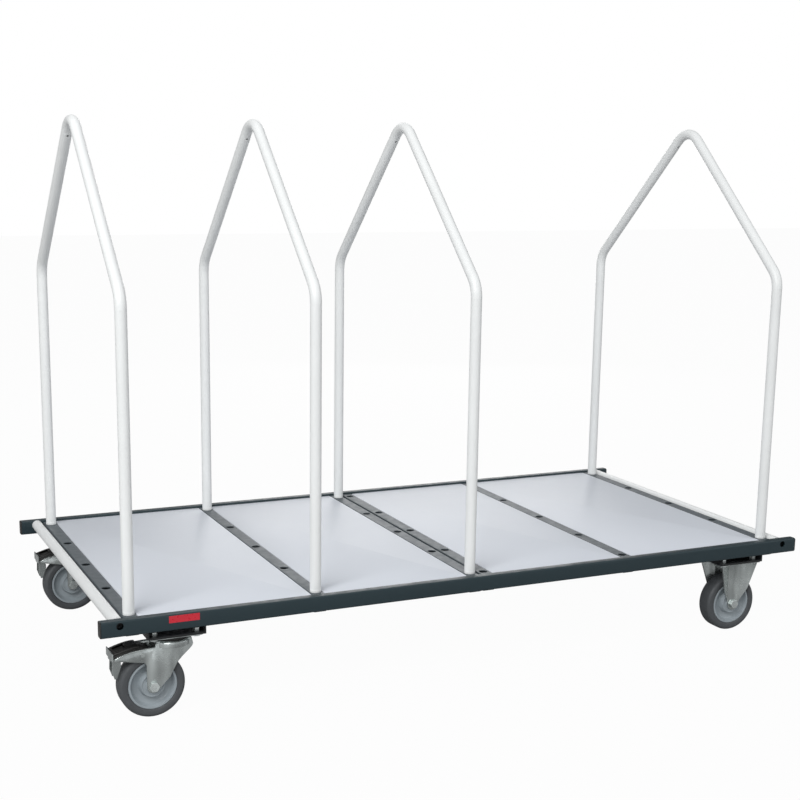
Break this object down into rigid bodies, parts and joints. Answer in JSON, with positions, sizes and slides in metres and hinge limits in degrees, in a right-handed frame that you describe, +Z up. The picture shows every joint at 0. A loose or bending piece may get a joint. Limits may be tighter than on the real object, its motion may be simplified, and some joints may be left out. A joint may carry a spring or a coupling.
{
  "type": "mattress trolley",
  "caption": "Low flat trolley on castors with tall gable-topped tube hoops that keep standing mattresses upright and apart.",
  "frame": {"origin": "on the floor under the middle of the base", "axes": "+X along the trolley away from the swivel castors, +Y across it, +Z up"},
  "size_m": [1.56, 0.79, 1.096],
  "materials": {
    "frame_paint": "satin slate grey powder coat",
    "hoop_paint": "satin pale grey powder coat",
    "deck_board": "smooth pale cool grey board",
    "black_plastic": "fine matt texture",
    "black_steel": "black semi-gloss paint",
    "zinc_steel": "bright zinc plating on pressed sheet",
    "bolt_zinc": "bright zinc plating",
    "wheel_plastic": "moulded blue-grey plastic",
    "tyre_rubber": "smooth dark grey solid rubber",
    "label_red": "plain glossy film, blank"
  },
  "bodies": {
    "base": {"near_rail": "frame_paint", "far_rail": "frame_paint", "rail_end_caps": "black_plastic", "left_end_tube": "hoop_paint", "right_end_tube": "hoop_paint", "end_tube_bolts": "black_steel", "cross_member_1": "frame_paint", "cross_member_2": "frame_paint", "cross_member_3": "frame_paint", "cross_member_4": "frame_paint", "cross_member_5": "frame_paint", "cross_member_6": "frame_paint", "deck_panel_1": "deck_board", "deck_panel_2": "deck_board", "deck_panel_3": "deck_board", "deck_panel_4": "deck_board", "panel_ledges": "frame_paint", "near_left_bracket": "black_steel", "far_left_bracket": "black_steel", "near_right_bracket": "black_steel", "far_right_bracket": "black_steel", "castor_bolts": "bolt_zinc", "label_plate": "label_red", "near_left_castor_plate": "zinc_steel", "near_left_kingpin": "bolt_zinc", "near_left_swivel_ring": "black_plastic", "far_left_castor_plate": "zinc_steel", "far_left_kingpin": "bolt_zinc", "far_left_swivel_ring": "black_plastic", "near_right_fork": "zinc_steel", "far_right_fork": "zinc_steel", "near_right_axle": "bolt_zinc", "far_right_axle": "bolt_zinc"},
    "hoop_body_1": {"hoop_1": "hoop_paint", "hoop_1_spigots": "hoop_paint"},
    "hoop_body_2": {"hoop_2": "hoop_paint", "hoop_2_spigots": "hoop_paint"},
    "hoop_body_3": {"hoop_3": "hoop_paint", "hoop_3_spigots": "hoop_paint"},
    "hoop_body_4": {"hoop_4": "hoop_paint", "hoop_4_spigots": "hoop_paint"},
    "near_left_swivel": {"near_left_fork": "zinc_steel", "near_left_axle": "bolt_zinc", "near_left_brake_pin": "bolt_zinc"},
    "near_left_pedal": {"near_left_brake_lever": "zinc_steel", "near_left_brake_tread": "black_plastic"},
    "near_left_roller": {"near_left_wheel": "wheel_plastic", "near_left_tyre": "tyre_rubber"},
    "near_right_roller": {"near_right_wheel": "wheel_plastic", "near_right_tyre": "tyre_rubber"},
    "far_left_swivel": {"far_left_fork": "zinc_steel", "far_left_axle": "bolt_zinc", "far_left_brake_pin": "bolt_zinc"},
    "far_left_pedal": {"far_left_brake_lever": "zinc_steel", "far_left_brake_tread": "black_plastic"},
    "far_left_roller": {"far_left_wheel": "wheel_plastic", "far_left_tyre": "tyre_rubber"},
    "far_right_roller": {"far_right_wheel": "wheel_plastic", "far_right_tyre": "tyre_rubber"}
  },
  "joints": [
    {"name": "hoop_1_lift", "type": "slide", "parent": "base", "child": "hoop_body_1", "axis": [0, 0, 1], "range_m": [0, 0.1]},
    {"name": "hoop_2_lift", "type": "slide", "parent": "base", "child": "hoop_body_2", "axis": [0, 0, 1], "range_m": [0, 0.1]},
    {"name": "hoop_3_lift", "type": "slide", "parent": "base", "child": "hoop_body_3", "axis": [0, 0, 1], "range_m": [0, 0.1]},
    {"name": "hoop_4_lift", "type": "slide", "parent": "base", "child": "hoop_body_4", "axis": [0, 0, 1], "range_m": [0, 0.1]},
    {"name": "near_left_swivel_turn", "type": "hinge", "parent": "base", "child": "near_left_swivel", "pos_m": [-0.638, -0.345, 0.15], "axis": [0, 0, 1], "continuous": true},
    {"name": "near_left_pedal_tip", "type": "hinge", "parent": "near_left_swivel", "child": "near_left_pedal", "pos_m": [-0.698, -0.345, 0.12601], "axis": [0, -1, 0], "range_deg": [0, 5]},
    {"name": "near_left_wheel_spin", "type": "hinge", "parent": "near_left_swivel", "child": "near_left_roller", "pos_m": [-0.678, -0.345, 0.0625], "axis": [0, 1, 0], "continuous": true},
    {"name": "near_right_wheel_spin", "type": "hinge", "parent": "base", "child": "near_right_roller", "pos_m": [0.638, -0.345, 0.0625], "axis": [0, 1, 0], "continuous": true},
    {"name": "far_left_swivel_turn", "type": "hinge", "parent": "base", "child": "far_left_swivel", "pos_m": [-0.638, 0.345, 0.15], "axis": [0, 0, 1], "continuous": true},
    {"name": "far_left_pedal_tip", "type": "hinge", "parent": "far_left_swivel", "child": "far_left_pedal", "pos_m": [-0.698, 0.345, 0.12601], "axis": [0, -1, 0], "range_deg": [0, 5]},
    {"name": "far_left_wheel_spin", "type": "hinge", "parent": "far_left_swivel", "child": "far_left_roller", "pos_m": [-0.678, 0.345, 0.0625], "axis": [0, 1, 0], "continuous": true},
    {"name": "far_right_wheel_spin", "type": "hinge", "parent": "base", "child": "far_right_roller", "pos_m": [0.638, 0.345, 0.0625], "axis": [0, 1, 0], "continuous": true}
  ]
}
